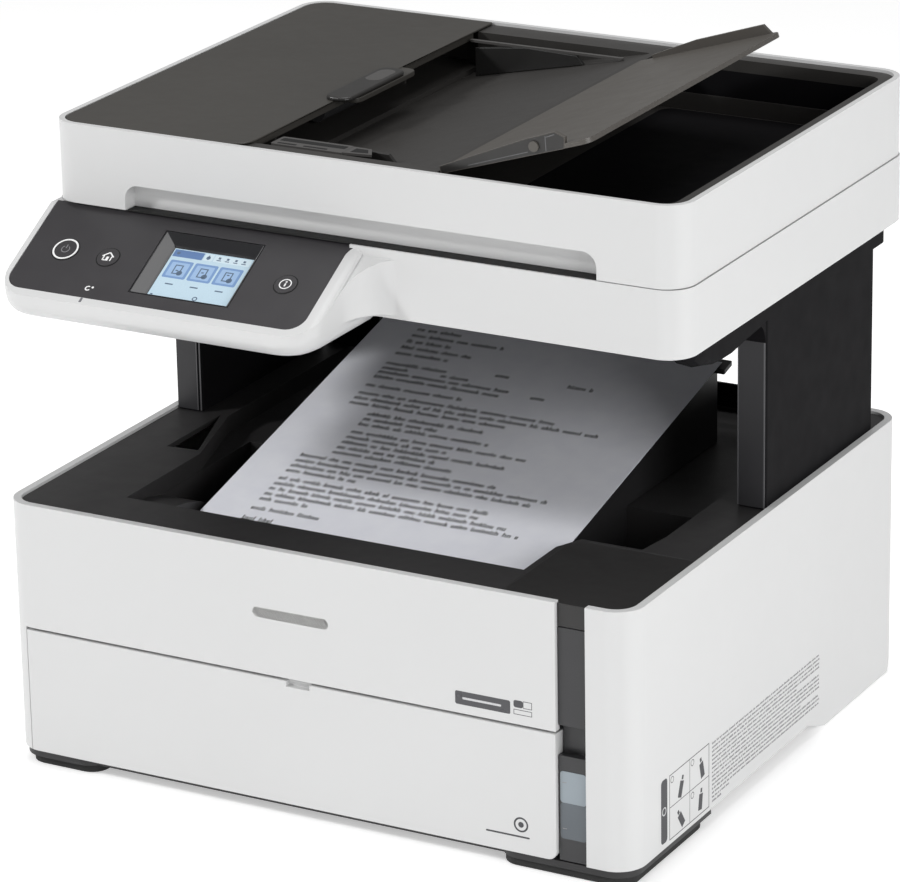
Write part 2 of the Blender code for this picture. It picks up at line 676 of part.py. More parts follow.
def chin():
    """Control panel's housing: rounded at its left end, and swept into the scanner's front at its right end."""
    sections = []
    for step in range(7):
        angle = math.radians(15 * step)
        x = -HALF + CORNER * (1 - math.cos(angle))
        front = CHIN_FRONT + CORNER * (1 - math.sin(angle))
        sections.append(chin_section(x, front, CHIN_LOW + 4 * (1 - math.sin(angle)) ** 2, 0.0))
    reach, rise, turn, draft = 28.0, 13.0, 16.0, 0.3
    side = CHIN_RIGHT - draft
    for step in range(10):
        angle = math.radians(10 * step)
        x = side - reach + reach * math.sin(angle)
        low = CHIN_LOW + rise * (1 - math.cos(angle))
        into = max(0.0, (x - (side - turn)) / turn)
        front = CHIN_FRONT + turn * (1 - math.sqrt(1 - min(into, 1.0) ** 2))
        edge = max(0.0, (x - (side - 3)) / 3)
        sections.append(chin_section(x, front, low, 3 * (1 - math.sqrt(1 - min(edge, 1.0) ** 2))))
    sweep = 24.0
    for step in range(7):
        angle = math.radians(15 * step)
        x = CHIN_RIGHT + sweep * (1 - math.cos(angle))
        front = LID_FRONT + 0.5 - sweep * (1 - math.sin(angle))
        sections.append(chin_section(x, front, 265 + 0.2 * step, 3.0))
    return loft(sections)


def screen_opening(depth):
    """The touch screen's place in the panel, cut to depth below its face."""
    x = (SCREEN_X[0] - GAP, SCREEN_X[1] + GAP)
    return panel_shape(box(x, (-SCREEN_DROPS[1] - GAP, -SCREEN_DROPS[0] + GAP), (-depth, 20)))


def panel_plate(grow, z):
    """The panel's rounded outline, grown outwards, between two heights off its face."""
    x = (PANEL_X[0] - grow, PANEL_X[1] + grow)
    drops = (-PANEL_DROPS[1] - grow, -PANEL_DROPS[0] + grow)
    front_corners = [(False, False), (True, False)]
    return panel_shape(box(x, drops, z, PANEL_CORNER + grow, segments=8, corner=front_corners))


def scanner():
    housing = piece(
        "scanner_housing",
        box((-HALF, HALF), (LID_FRONT, LID_REAR), (SCANNER_LOW, SCANNER_TOP), CORNER, segments=CORNER_STEPS),
        "white_shell",
    )
    join(housing, chin())
    cut(
        housing,
        box((-HALF + 3.5, HALF - 3.5), (-96.5, LID_REAR - 3.5), (200, 299.2), 10, segments=4),
        box((-150.4, 160.4), (-85.4, 138.4), (290, 310)),
        panel_plate(GAP, (-2.6, 20)),
        screen_opening(6),
    )
    for x, drop, radius in BUTTONS.values():
        cut(housing, panel_shape(cylinder((0, 0, 0), (0, 0, 1), radius + 0.6, 12), x, drop))

    panel = piece("control_panel", panel_plate(0.0, (-2.2, 0)), "panel_face")
    cut(panel, screen_opening(6))
    for name, (x, drop, radius) in BUTTONS.items():
        cut(panel, panel_shape(cylinder((0, 0, 0), (0, 0, 1), radius + GAP, 12), x, drop))
        button = cylinder((0, 0, -1.6), (0, 0, 1), radius, 4.2, 28)
        piece(name, button, "panel_face", on_panel(x, drop), (PANEL_ANGLE, 0, 0))
    piece(
        "touch_screen",
        panel_shape(box(SCREEN_X, (-SCREEN_DROPS[1], -SCREEN_DROPS[0]), (-5.6, 0.2))),
        "screen_glass",
    )

    pan = piece("scanner_pan", box((-183.6, 183.6), (-96, 166.7), (266, 268.5), 9, segments=4), "dark_shell")
    join(pan, box((-176, -170), (20, 40), (268, 281)), box((170, 176), (20, 40), (268, 281)))
    piece("scan_rail", cylinder((0, 30, 275), (1, 0, 0), 3, 339.4, 20), "frame_steel")
    piece("scanner_glass", box((-150, 160), (-85, 138), (299.4, 302.2)), "platen_glass")
    bar = piece("scan_bar", box((-168, -150.6), (-80, 134), (282, 296)), "dark_shell")
    cut(bar, box((-163, -155.6), (-76, 130), (293, 300)))
    join(bar, box((-165, -153), (18, 25.5), (272, 283)), box((-165, -153), (34.5, 42), (272, 283)))


# ---------------------------------------------------------------- lid and document feeder


def lid():
    frame = piece(
        "lid_frame",
        box((-LID_HALF, LID_HALF), (LID_FRONT, LID_REAR), (LID_LOW, LID_TOP), CORNER, segments=CORNER_STEPS),
        "white_shell",
    )
    inner = ((-LID_HALF + LID_WALL, LID_HALF - LID_WALL), (LID_FRONT + LID_WALL, LID_REAR - LID_WALL))
    cut(
        frame,
        box(*inner, (322, FAR), CORNER - LID_WALL, segments=CORNER_STEPS),
        box(inner[0], (-97, inner[1][1]), (309, 322.5), 10, segments=4),
        box((-160, 165), (-92, 145), (200, 306.2)),
        box((-140, 139), (-FAR, -101.5), (200, 317), 8, axis=1, segments=5, corner=[(False, True), (True, True)]),
    )
    piece("backing_pad", box((-158, 163), (-90, 143), (303, 305.9)), "foam")


def tray_z(x):
    return TRAY_LOW + (x - MOUTH_X) / (TRAY_END_X - MOUTH_X) * (TRAY_HIGH - TRAY_LOW)


def feeder():
    base = piece(
        "adf_base",
        box((-183.2, 183.2), (-107.1, 167), (322.4, 345), 12.4, segments=CORNER_STEPS),
        "dark_shell",
    )
    join(base, box((-183, 183), (-96.6, 166.8), (309.4, 323), 12.6, segments=4))
    under = [
        (-60, HOLLOW_FLOOR),
        (HOLLOW_RIGHT - 60, HOLLOW_FLOOR),
        (HOLLOW_RIGHT - 60, TRAY_HIGH - 3),
        (TRAY_END_X, TRAY_HIGH - 3),
        (-60, tray_z(-60) - 3),
    ]
    above = [
        (MOUTH_X - 1, tray_z(MOUTH_X)),
        (TRAY_END_X, tray_z(TRAY_END_X)),
        (TRAY_END_X + 0.2, FAR),
        (MOUTH_X - 1, FAR),
    ]
    cut(
        base,
        box((TRAY_END_X + 4, HOLLOW_RIGHT), HOLLOW_Y, (322.7, FAR), 8, segments=4,
            corner=[(True, False), (True, True)]),
        box((TRAY_END_X + 3.9, HOLLOW_RIGHT - 1), (-93, HOLLOW_Y[1] - 1), (HOLLOW_FLOOR, 325), 8, segments=4,
            corner=[(True, False), (True, True)]),
        prism(under, 1, (-92.8, HOLLOW_Y[1] - 0.8)),
        prism(above, 1, (-96, 150)),
        box((-178, MOUTH_X), (-102, 160), (325, FAR), 5, segments=3),
        box((MOUTH_X - 0.5, MOUTH_X + 3), (-96.2, 149.8), (tray_z(MOUTH_X) + 3.2, FAR)),
    )
    hinge = (-182.9, 30.0, LID_TOP)
    cover = pivoted(
        "adf_cover",
        box((-182.9, MOUTH_X + 0.5), (-107.0, 166.8), (345.3, LID_TOP), 12.6, segments=CORNER_STEPS,
            corner=[(False, False), (False, True), (True, False)]),
        "feeder_cover",
        hinge,
    )
    join(
        cover,
        box((-176, MOUTH_X - 0.5), (-95, 149), (341.5, 346), 4, segments=2),
        box((MOUTH_X - 1, MOUTH_X + 10), (-4, 62), (343.4, LID_TOP - 0.2), 5, segments=3,
            corner=[(True, False), (True, True)]),
    )
    cut(cover, box((-173, MOUTH_X - 4), (-92, 146), (330, 344.4)))

    axis = (-92.0, FEEDER_MIDDLE, 332.0)
    for y in (-42, 100):
        join(base, box((-96, -88), (y, y + 2), (324, 337)))
        cut(base, cylinder((axis[0], y + 1, axis[2]), (0, 1, 0), 2.5 + RUNNING, 4))
    roller = pivoted("adf_roller", cylinder(axis, (0, 1, 0), 2.5, 150, 16), "roller_rubber", axis)
    join(roller, cylinder(axis, (0, 1, 0), 6, 44, 24))

    for name, side in (("front_edge_guide", -1), ("rear_edge_guide", 1)):
        face = FEEDER_MIDDLE + side * 105.3
        fin = [(-62, tray_z(-62) + 0.4), (6, tray_z(6) + 0.4), (2, tray_z(6) + 5), (-30, 343.5), (-62, 340)]
        guide = piece(name, prism(fin, 1, sorted((face, face + side * 2.5))), "grey_plastic")
        foot = [(-58, tray_z(-58) + 0.4), (-20, tray_z(-20) + 0.4), (-20, tray_z(-20) + 2.4), (-58, tray_z(-58) + 2.4)]
        join(guide, prism(foot, 1, sorted((face + side * 1, face + side * 12))))
    flap()


def flap():
    """The raised paper support, drawn flat round its pivot and then turned up."""
    pivot = (FLAP_PIVOT[0], FEEDER_MIDDLE, FLAP_PIVOT[1])
    front, rear = -100.4 - FEEDER_MIDDLE, 129.0 - FEEDER_MIDDLE
    plate = piece(
        "adf_flap",
        box((2.6, FLAP_LONG), (front, rear), (-2.6, 0), 6, segments=3, corner=[(True, False), (True, True)]),
        "feeder_cover",
        pivot,
        (0, -FLAP_ANGLE, 0),
    )
    arm = [(3.0, -2.7), (77, -2.7), (79, 3), (74, 6.8), (56, 6.2), (2.8, 1.2)]
    wing = [(12, -2.4), (FLAP_LONG - 4, -2.4), (FLAP_LONG - 9, 5.5), (40, 5), (12, 2)]
    shaped(
        plate,
        "UNION",
        [
            prism(arm, 1, (front - 0.1, front + 2.6)),
            prism(wing, 1, (rear - 2.4, rear + 0.1)),
            cylinder((60.4, front - 0.2, 1.6), (0, 1, 0), 2.8, 2, 20),
        ],
    )


def printed_sheet():
    length = (SHEET_END_Y - SHEET_START_Y) / math.cos(SHEET_SLOPE)
    start = (0.0, SHEET_START_Y, sheet_z(SHEET_START_Y))
    piece(
        "printed_sheet",
        box((-SHEET_HALF, SHEET_HALF), (0, length), (-0.3, 0)),
        "paper",
        start,
        (SHEET_SLOPE, 0, 0),
    )


clear_scene()
PARTS = collection("ink_tank_printer")
CUTTERS = collection("cutters")
base_panels()
base_floor()
top_deck()
output_tray()
columns()
mid_frame()
ink_supply()
cassette()
rollers()
print_engine()
electronics()
scanner()
lid()
feeder()
printed_sheet()
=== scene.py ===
"""Looks of the ink-tank printer: materials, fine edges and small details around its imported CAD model.

Lengths are metres. The printer's front faces -Y and its right side +X, and the floor is z = 0.
"""

import json
import math
import random

import bmesh
import bpy
from mathutils import Matrix, Vector


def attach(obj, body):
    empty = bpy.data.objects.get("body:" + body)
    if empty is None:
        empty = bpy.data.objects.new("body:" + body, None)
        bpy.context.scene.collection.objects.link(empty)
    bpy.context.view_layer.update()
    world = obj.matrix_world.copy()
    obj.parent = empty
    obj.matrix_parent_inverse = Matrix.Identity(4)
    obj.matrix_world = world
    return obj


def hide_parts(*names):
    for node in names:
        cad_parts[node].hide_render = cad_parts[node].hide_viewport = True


MM = 0.001

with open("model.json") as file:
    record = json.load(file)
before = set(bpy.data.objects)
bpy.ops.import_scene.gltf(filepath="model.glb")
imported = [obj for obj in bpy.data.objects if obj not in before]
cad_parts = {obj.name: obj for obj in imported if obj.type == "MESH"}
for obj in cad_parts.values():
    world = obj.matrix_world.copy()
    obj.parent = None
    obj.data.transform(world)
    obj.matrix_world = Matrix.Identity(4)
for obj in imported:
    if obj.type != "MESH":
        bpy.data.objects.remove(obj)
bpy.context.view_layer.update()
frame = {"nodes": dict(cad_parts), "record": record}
NODES = frame["nodes"]


# ---------------------------------------------------------------- materials


class Shader:
    """A node-based material with the few building blocks that the finishes below share."""

    def __init__(self, name):
        self.made = bpy.data.materials.new(name)
        self.made.use_nodes = True
        self.nodes = self.made.node_tree.nodes
        self.links = self.made.node_tree.links
        self.surface = self.nodes["Principled BSDF"]
        self.place = self.nodes.new("ShaderNodeTexCoord").outputs["Object"]
        self.height = None

    def set(self, **values):
        for name, value in values.items():
            self.surface.inputs[name.replace("_", " ")].default_value = value
        return self

    def link(self, output, socket):
        self.links.new(output, self.surface.inputs[socket])

    def noise(self, size, detail=3.0, roughness=0.5, stretch=(1, 1, 1)):
        """Noise whose features are about size metres across, longer along an axis with a low stretch."""
        source = self.place
        if stretch != (1, 1, 1):
            mapping = self.nodes.new("ShaderNodeMapping")
            mapping.inputs["Scale"].default_value = stretch
            self.links.new(source, mapping.inputs["Vector"])
            source = mapping.outputs["Vector"]
        texture = self.nodes.new("ShaderNodeTexNoise")
        texture.inputs["Scale"].default_value = 1 / size
        texture.inputs["Detail"].default_value = detail
        texture.inputs["Roughness"].default_value = roughness
        self.links.new(source, texture.inputs["Vector"])
        return texture.outputs["Fac"]

    def remap(self, output, low, high, start=0.3, stop=0.7):
        node = self.nodes.new("ShaderNodeMapRange")
        for name, value in (("From Min", start), ("From Max", stop), ("To Min", low), ("To Max", high)):
            node.inputs[name].default_value = value
        self.links.new(output, node.inputs["Value"])
        return node.outputs["Result"]

    def mix(self, factor, first, second):
        node = self.nodes.new("ShaderNodeMix")
        node.data_type = "RGBA"
        self.links.new(factor, node.inputs["Factor"])
        node.inputs["A"].default_value = (*first, 1)
        node.inputs["B"].default_value = (*second, 1)
        return node.outputs["Result"]

    def bump(self, output, depth):
        """Adds relief of the given depth in metres, on top of any earlier relief."""
        node = self.nodes.new("ShaderNodeBump")
        node.inputs["Distance"].default_value = depth
        self.links.new(output, node.inputs["Height"])
        if self.height:
            self.links.new(self.height, node.inputs["Normal"])
        self.height = node.outputs["Normal"]
        self.link(self.height, "Normal")


def shade(colour, factor):
    return tuple(min(1.0, value * factor) for value in colour)


def plastic(name, colour, rough, grain, depth, tone=0.03, gloss=0.5):
    """Moulded plastic: slow tone changes, moulded grain of the given size, and slightly uneven gloss."""
    made = Shader(name)
    drift = made.remap(made.noise(0.09, 2.0), 0.0, 1.0)
    made.link(made.mix(drift, shade(colour, 1 - tone), shade(colour, 1 + tone)), "Base Color")
    made.link(made.remap(made.noise(0.012, 4.0), rough - 0.035, rough + 0.035), "Roughness")
    made.set(Specular_IOR_Level=gloss)
    made.bump(made.noise(grain, 2.0), depth)
    made.bump(made.noise(0.02, 2.0), depth * 3)
    return made.made


def steel(name, colour, rough):
    made = Shader(name)
    streak = made.noise(0.002, 4.0, stretch=(0.06, 1, 1))
    made.link(made.mix(made.remap(streak, 0, 1), shade(colour, 0.86), shade(colour, 1.08)), "Base Color")
    made.link(made.remap(streak, rough - 0.08, rough + 0.1), "Roughness")
    made.set(Metallic=1.0)
    made.bump(streak, 0.00001)
    return made.made


def paper(name):
    made = Shader(name)
    fibre = made.noise(0.0009, 5.0, 0.7)
    cloud = made.noise(0.012, 3.0)
    made.link(made.mix(made.remap(cloud, 0, 1), (0.82, 0.83, 0.89), (0.86, 0.87, 0.92)), "Base Color")
    made.set(Roughness=0.78, Specular_IOR_Level=0.25)
    made.bump(fibre, 0.00002)
    return made.made


def foam(name):
    made = Shader(name)
    cells = made.noise(0.0014, 3.0)
    made.link(made.mix(made.remap(cells, 0, 1), (0.66, 0.66, 0.64), (0.8, 0.8, 0.78)), "Base Color")
    made.set(Roughness=0.9)
    made.bump(cells, 0.0001)
    return made.made


def circuit(name):
    made = Shader(name)
    tracks = made.noise(0.003, 1.0, stretch=(1, 0.2, 1))
    edges = made.remap(tracks, 0, 1, 0.48, 0.52)
    made.link(made.mix(edges, (0.005, 0.07, 0.025), (0.01, 0.14, 0.05)), "Base Color")
    made.set(Roughness=0.35)
    made.bump(tracks, 0.00003)
    return made.made


def clear(name, colour, rough, amount):
    """Clear or tinted plastic or glass; amount is the share of light that goes through."""
    made = Shader(name)
    haze = made.noise(0.02, 3.0)
    made.link(made.remap(haze, rough, rough + 0.05), "Roughness")
    made.set(Base_Color=(*colour, 1), Transmission_Weight=amount, IOR=1.47)
    made.bump(haze, 0.00001)
    return made.made


def glow(name, colour, strength):
    """A lit area of the screen, with a faint pixel grain."""
    made = Shader(name)
    pixels = made.noise(0.0004, 1.0)
    mixed = made.mix(made.remap(pixels, 0, 1), shade(colour, 0.96), shade(colour, 1.03))
    made.link(mixed, "Base Color")
    made.link(mixed, "Emission Color")
    made.set(Emission_Strength=strength, Roughness=0.12)
    return made.made


def ink(name, colour, rough=0.6):
    """Printed or painted marking."""
    made = Shader(name)
    grain = made.noise(0.0006, 3.0)
    made.link(made.mix(made.remap(grain, 0, 1), shade(colour, 0.9), shade(colour, 1.1)), "Base Color")
    made.set(Roughness=rough)
    made.bump(grain, 0.000005)
    return made.made


FINISH = {
    "white_shell": plastic("white satin shell", (0.62, 0.622, 0.622), 0.36, 0.0006, 0.000004, 0.006),
    "dark_shell": plastic("black textured shell", (0.017, 0.0165, 0.0175), 0.47, 0.0005, 0.00002, 0.08),
    "feeder_cover": plastic("warm black feeder", (0.046, 0.043, 0.038), 0.42, 0.0005, 0.00002, 0.05),
    "panel_face": plastic("satin panel face", (0.036, 0.034, 0.037), 0.34, 0.0004, 0.000006, 0.04),
    "grey_plastic": plastic("dark grey plastic", (0.055, 0.055, 0.06), 0.42, 0.0005, 0.000012, 0.05),
    "frame_steel": steel("plated steel", (0.55, 0.56, 0.58), 0.34),
    "roller_rubber": plastic("roller rubber", (0.02, 0.02, 0.021), 0.75, 0.0003, 0.00003, 0.1),
    "foot_rubber": plastic("foot rubber", (0.015, 0.015, 0.015), 0.8, 0.0006, 0.00003, 0.1),
    "tank_plastic": clear("smoky tank", (0.62, 0.68, 0.72), 0.12, 0.75),
    "screen_glass": plastic("screen frame", (0.018, 0.018, 0.02), 0.12, 0.001, 0.000001, 0.02),
    "platen_glass": clear("platen glass", (0.85, 0.93, 0.9), 0.0, 0.95),
    "foam": foam("backing foam"),
    "circuit_board": circuit("circuit board"),
    "gear_plastic": plastic("acetal", (0.62, 0.61, 0.57), 0.4, 0.0006, 0.000006, 0.03),
    "paper": paper("office paper"),
}


# ---------------------------------------------------------------- CAD nodes


def soften(node, width):
    """Fine rounded edges on a CAD node: weld, flat faces made one, a small bevel and weighted normals."""
    node.data.polygons.foreach_set("use_smooth", [True] * len(node.data.polygons))
    weld = node.modifiers.new("weld", "WELD")
    weld.merge_threshold = 0.00002
    flat = node.modifiers.new("flat", "DECIMATE")
    flat.decimate_type = "DISSOLVE"
    flat.angle_limit = math.radians(0.6)
    edge = node.modifiers.new("edge", "BEVEL")
    edge.width = width
    edge.segments = 2
    edge.limit_method = "ANGLE"
    edge.angle_limit = math.radians(32)
    edge.use_clamp_overlap = True
    edge.miter_outer = "MITER_ARC"
    normals = node.modifiers.new("normals", "WEIGHTED_NORMAL")
    normals.keep_sharp = True


OWN_FINISH = {
    "adf_flap": plastic("warm grey flap", (0.080, 0.073, 0.065), 0.42, 0.0005, 0.00002, 0.04),
    "adf_base": plastic("warm black tray", (0.034, 0.032, 0.030), 0.45, 0.0005, 0.00002, 0.05),
    "top_deck": plastic("warm black deck", (0.025, 0.024, 0.0245), 0.47, 0.0005, 0.00002, 0.06),
    "ink_cover": plastic("warm black ink cover", (0.015, 0.0142, 0.014), 0.42, 0.0005, 0.00002, 0.05),
    "ink_strip": plastic("strip grey", (0.026, 0.026, 0.028), 0.36, 0.0005, 0.00001, 0.05),
    "front_edge_guide": plastic("front feeder guide", (0.020, 0.019, 0.018), 0.4, 0.0005, 0.00001, 0.05),
    "rear_edge_guide": plastic("rear feeder guide", (0.016, 0.0155, 0.015), 0.4, 0.0005, 0.00001, 0.05),
}
BAY_BLACK = plastic("bay black", (0.0065, 0.0062, 0.0070), 0.62, 0.0005, 0.00002, 0.06, 0.05)
OWN_FINISH |= dict.fromkeys(("left_column", "right_column", "mid_frame", "inner_frame"), BAY_BLACK)

EDGE = {"white_shell": 0.7, "dark_shell": 0.45, "feeder_cover": 0.5, "panel_face": 0.25}


def finish_nodes():
    slots = {entry["node"]: entry["material_slot"] for entry in frame["record"]["subparts"]}
    for name, node in NODES.items():
        node.data.materials.clear()
        node.data.materials.append(OWN_FINISH.get(name, FINISH[slots[name]]))
        soften(node, EDGE.get(slots[name], 0.3) * MM)


# ---------------------------------------------------------------- stage


def camera():
    yaw, pitch, roll = math.radians(28.968), math.radians(19.881), math.radians(-1.062)
    data = bpy.data.cameras.new("camera")
    data.lens = 188.0
    data.sensor_width = 36.0
    data.clip_end = 20.0
    made = bpy.data.objects.new("camera", data)
    heading = Matrix.Rotation(yaw, 4, "Z")
    tilt = Matrix.Rotation(math.pi / 2 - pitch, 4, "X")
    place = Matrix.Translation((1.1597, -2.1091, 1.0297))
    made.matrix_world = place @ heading @ tilt @ Matrix.Rotation(roll, 4, "Z")
    bpy.context.scene.collection.objects.link(made)
    bpy.context.scene.camera = made


def area_light(name, place, target, size, power):
    data = bpy.data.lights.new(name, "AREA")
    data.shape = "RECTANGLE"
    data.size, data.size_y = size
    data.energy = power
    made = bpy.data.objects.new(name, data)
    made.location = place
    made.rotation_euler = (Vector(target) - Vector(place)).to_track_quat("-Z", "Y").to_euler()
    bpy.context.scene.collection.objects.link(made)


FLOOR_SIZE = 6
FLOOR_GLOW = 0.42
WORLD_LIGHT = 0.25
AIM = (0, 0, 0.18)
# name, place, size and power in watts of each light
LIGHTS = (
    ("key", (-1.9, -1.6, 1.75), (0.36, 0.36), 40),
    ("side", (2.1, -0.9, 0.9), (1.3, 1.1), 27),
    ("front", (0.6, -3.2, 1.6), (2.4, 1.2), 3),
    ("top", (0.0, 0.4, 2.4), (1.8, 1.4), 24),
)


def stage():
    """The pale floor, the even light from all round, and the lamps."""
    mesh = bpy.data.meshes.new("floor")
    shape = bmesh.new()
    bmesh.ops.create_grid(shape, x_segments=1, y_segments=1, size=FLOOR_SIZE)
    shape.to_mesh(mesh)
    shape.free()
    floor = bpy.data.objects.new("floor", mesh)
    floor.location.z = -0.0004
    surface = Shader("studio floor")
    grain = surface.noise(0.3, 2.0)
    tone = surface.mix(surface.remap(grain, 0, 1), (0.86, 0.86, 0.86), (0.88, 0.88, 0.88))
    surface.link(tone, "Base Color")
    surface.set(Roughness=0.9, Emission_Color=(1, 1, 1, 1), Emission_Strength=FLOOR_GLOW)
    mesh.materials.append(surface.made)
    bpy.context.scene.collection.objects.link(floor)

    world = bpy.data.worlds.new("studio")
    world.use_nodes = True
    back = world.node_tree.nodes["Background"]
    back.inputs["Color"].default_value = (1, 1, 1, 1)
    back.inputs["Strength"].default_value = WORLD_LIGHT
    bpy.context.scene.world = world
    bpy.context.scene.view_settings.view_transform = "Standard"

    for name, place, size, power in LIGHTS:
        area_light(name, place, AIM, size, power)


# ---------------------------------------------------------------- small pieces


class Plane:
    """A flat place on the printer: u and v run along it and w stands off it, all in millimetres."""

    def __init__(self, origin, u, v):
        self.origin = Vector(origin)
        self.u = Vector(u).normalized()
        self.v = Vector(v).normalized()
        self.w = self.u.cross(self.v)

    def at(self, u, v, w=0.0):
        return (self.origin + self.u * u + self.v * v + self.w * w) * MM


def tilted(degrees):
    return (0, math.cos(math.radians(degrees)), math.sin(math.radians(degrees)))


TRAY_RISE = (344.6 - 322.0) / (40.0 + 68.0)
FLAP_TURN = math.radians(17.3)
FRONT = Plane((0, -170.6, 0), (1, 0, 0), (0, 0, 1))
SIDE = Plane((187.5, 0, 0), (0, 1, 0), (0, 0, 1))
REAR = Plane((0, 166.0, 0), (-1, 0, 0), (0, 0, 1))
STRIP = Plane((0, -168.3, 0), (1, 0, 0), (0, 0, 1))
PANEL = Plane((0, -114.4, 298.1), (1, 0, 0), tilted(29.2))
SHEET = Plane((0, 107.6, 187.0), (1, 0, 0), tilted(13.4))
ARM = Plane(
    (42.0, -101.0, 345.6),
    (math.cos(FLAP_TURN), 0, math.sin(FLAP_TURN)),
    (-math.sin(FLAP_TURN), 0, math.cos(FLAP_TURN)),
)
TRAY = Plane((-68.0, 0, 322.0), (1, 0, TRAY_RISE), (0, 1, 0))
FEEDER_TOP, GUIDE_TOP, HOLLOW_FLOOR, SCANNER_TOP, DECK_TOP = (
    Plane((0, 0, level), (1, 0, 0), (0, 1, 0)) for level in (346.6, 343.6, 313.0, 302.4, 150.0)
)
HOLLOW_REAR, BAY_REAR, LEFT_COLUMN, RIGHT_COLUMN = (
    Plane((0, depth, 0), (1, 0, 0), (0, 0, 1)) for depth in (158.0, 139.0, 0.0, -3.0)
)


def slab(shape, plane, outline, low, high):
    """A flat outline on a plane, anticlockwise seen from outside, given thickness."""
    bottom = [shape.verts.new(plane.at(u, v, low)) for u, v in outline]
    top = [shape.verts.new(plane.at(u, v, high)) for u, v in outline]
    shape.faces.new(top)
    shape.faces.new(bottom[::-1])
    for i in range(len(top)):
        after = (i + 1) % len(top)
        shape.faces.new((bottom[i], bottom[after], top[after], top[i]))


def bar(u0, v0, u1, v1, radius=0.0, steps=5):
    """Outline of a rectangle whose corners may be rounded."""
    if not radius:
        return [(u0, v0), (u1, v0), (u1, v1), (u0, v1)]
    corners = ((u1 - radius, v0 + radius, -90), (u1 - radius, v1 - radius, 0))
    corners += ((u0 + radius, v1 - radius, 90), (u0 + radius, v0 + radius, 180))
    outline = []
    for u, v, start in corners:
        for step in range(steps + 1):
            angle = math.radians(start + 90 * step / steps)
            outline.append((u + radius * math.cos(angle), v + radius * math.sin(angle)))
    return outline


def stroke(first, second, width):
    """Outline of a straight line of the given width."""
    along = Vector(second) - Vector(first)
    side = Vector((-along.y, along.x)).normalized() * width / 2
    ends = (Vector(first) - side, Vector(second) - side, Vector(second) + side, Vector(first) + side)
    return [tuple(end) for end in ends]


def disc(u, v, radius, steps=32):
    angles = [2 * math.pi * step / steps for step in range(steps)]
    return [(u + radius * math.cos(angle), v + radius * math.sin(angle)) for angle in angles]


def ring(u, v, outer, inner, start=0.0, stop=360.0, steps=48):
    """Outlines of the four-sided parts that make up a ring or part of one."""
    parts = []
    for step in range(steps):
        first = math.radians(start + (stop - start) * step / steps)
        second = math.radians(start + (stop - start) * (step + 1) / steps)
        parts.append([
            (u + inner * math.cos(first), v + inner * math.sin(first)),
            (u + outer * math.cos(first), v + outer * math.sin(first)),
            (u + outer * math.cos(second), v + outer * math.sin(second)),
            (u + inner * math.cos(second), v + inner * math.sin(second)),
        ])
    return parts


def outlined(u0, v0, u1, v1, width):
    """Outlines of the four lines round a rectangle."""
    return [
        bar(u0, v0, u1, v0 + width),
        bar(u0, v1 - width, u1, v1),
        bar(u0, v0 + width, u0 + width, v1 - width),
        bar(u1 - width, v0 + width, u1, v1 - width),
    ]


def detail(name, finish, body, shape, slot=None):
    mesh = bpy.data.meshes.new(name)
    bmesh.ops.recalc_face_normals(shape, faces=shape.faces)
    shape.to_mesh(mesh)
    shape.free()
    mesh.materials.append(finish)
    made = bpy.data.objects.new(name, mesh)
    bpy.context.scene.collection.objects.link(made)
    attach(made, body)
    return made


def marks(name, finish, body, plane, outlines, high=0.03, low=-0.25):
    """Printed marks or thin plates, all on one plane."""
    shape = bmesh.new()
    for outline in outlines:
        slab(shape, plane, outline, low, high)
    return detail(name, finish, body, shape)


# ---------------------------------------------------------------- markings


def word_marks(rng, start, line, length, size):
    """Small upright bars in groups, like words too small to read, from start along one line."""
    outlines = []
    place = start
    low_height = 0.68 * size
    while place < start + length:
        for _ in range(rng.randint(2, 9)):
            width = size * rng.choice((0.2, 0.44, 0.5, 0.56))
            height = size * rng.choice((0.68, 0.68, 0.68, 1.0))
            if place + width > start + length:
                break
            outlines.append(bar(place, line, place + 0.19 * size, line + height))
            if width > 0.4 * size:
                stop = place + width
                middle = line + rng.choice((0.0, 0.52)) * size
                outlines.append(bar(stop - 0.17 * size, line, stop, line + low_height))
                outlines.append(bar(place + 0.18 * size, middle, stop - 0.16 * size, middle + 0.15 * size))
            place += width + 0.15 * size
        place += 0.55 * size
    return outlines


def sheet_marks():
    """A letter's lines, as unreadable marks: a short address, a subject, a list and paragraphs."""
    rng = random.Random(31)
    left, top, pitch, size = -79.0, -16.0, 5.35, 3.8
    # below the top line, then each line's inset and length, then the distance between lines
    blocks = [
        (0.0, [(0, 28), (0, 60), (0, 28), (0, 46), (0, 33)], 6.6),
        (37.5, [(0, 40)], pitch),
        (42.5, [(0, 16)], pitch),
        (47.0, [(0, 84), (0, 80)], pitch),
        (61.5, [(0, 62)], pitch),
        (70.0, [(0, 124), (0, 152), (0, 98)], pitch),
        (89.0, [(16, 76), (16, 46), (16, 82)], pitch),
        (108.0, [(16, 108), (16, 62), (16, 104), (16, 62), (16, 76)], pitch),
        (137.0, [(0, 122), (0, 156), (0, 148), (0, 44)], pitch),
        (161.0, [(0, 128), (0, 128), (0, 146), (0, 156), (0, 30)], pitch),
        (191.5, [(0, 44)], pitch),
        (201.5, [(0, 22)], pitch),
    ]
    outlines = []
    for below, lines, step in blocks:
        for number, (inset, length) in enumerate(lines):
            line = top - below - number * step
            outlines += word_marks(rng, left + inset, line, length, size)
    for u, below, length in ((-12, 33, 9), (33, 33, 16), (18, 49, 11), (-42, 42, 18)):
        outlines += word_marks(rng, u, top - below, length, size)
    marks("sheet_printing", INK_BLACK, "sheet", SHEET, outlines, 0.02, -0.1)


